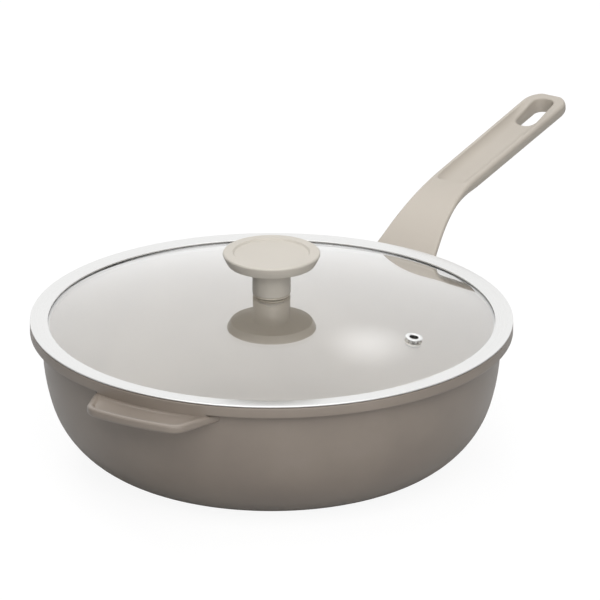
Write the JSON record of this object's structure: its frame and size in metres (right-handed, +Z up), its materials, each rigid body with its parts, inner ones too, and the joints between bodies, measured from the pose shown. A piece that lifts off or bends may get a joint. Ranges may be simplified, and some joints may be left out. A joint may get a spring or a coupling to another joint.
{
  "type": "wok with lid",
  "caption": "Deep round-walled flat-based pan with a long moulded handle, a cast helper ear and a lift-off domed glass lid with a steel rim, a steam vent and a mushroom knob.",
  "frame": {"origin": "centre of the flat base, on the surface that the pan stands on", "axes": "+X along the long handle away from the pan, +Z up along the pan's axis"},
  "size_m": [0.5005, 0.29, 0.1322],
  "materials": {
    "coated_aluminium": "matt taupe non-stick coating on cast aluminium",
    "beige_moulding": "soft-touch beige moulding",
    "tempered_glass": "polished, clear",
    "stainless_steel": "satin",
    "ferritic_steel": "matt, pressed into the base",
    "zinc_plated_steel": "zinc plated",
    "brass": "plain",
    "silicone": "grey silicone"
  },
  "bodies": {
    "pan": {"pan_base": "coated_aluminium", "pan_body": "coated_aluminium", "induction_plate": "ferritic_steel", "handle": "beige_moulding", "handle_screw": "zinc_plated_steel", "handle_spring_washer": "zinc_plated_steel"},
    "lid": {"lid_glass": "tempered_glass", "lid_rim": "stainless_steel", "vent_eyelet": "stainless_steel", "vent_collar": "stainless_steel", "vent_gasket": "silicone", "knob": "beige_moulding", "knob_insert": "brass", "knob_gasket_upper": "silicone", "knob_bush": "silicone", "knob_washer": "stainless_steel", "knob_screw": "stainless_steel"}
  },
  "joints": [
    {"name": "lid_lift", "type": "slide", "parent": "pan", "child": "lid", "axis": [0, 0, 1], "range_m": [0, 0.06]}
  ]
}
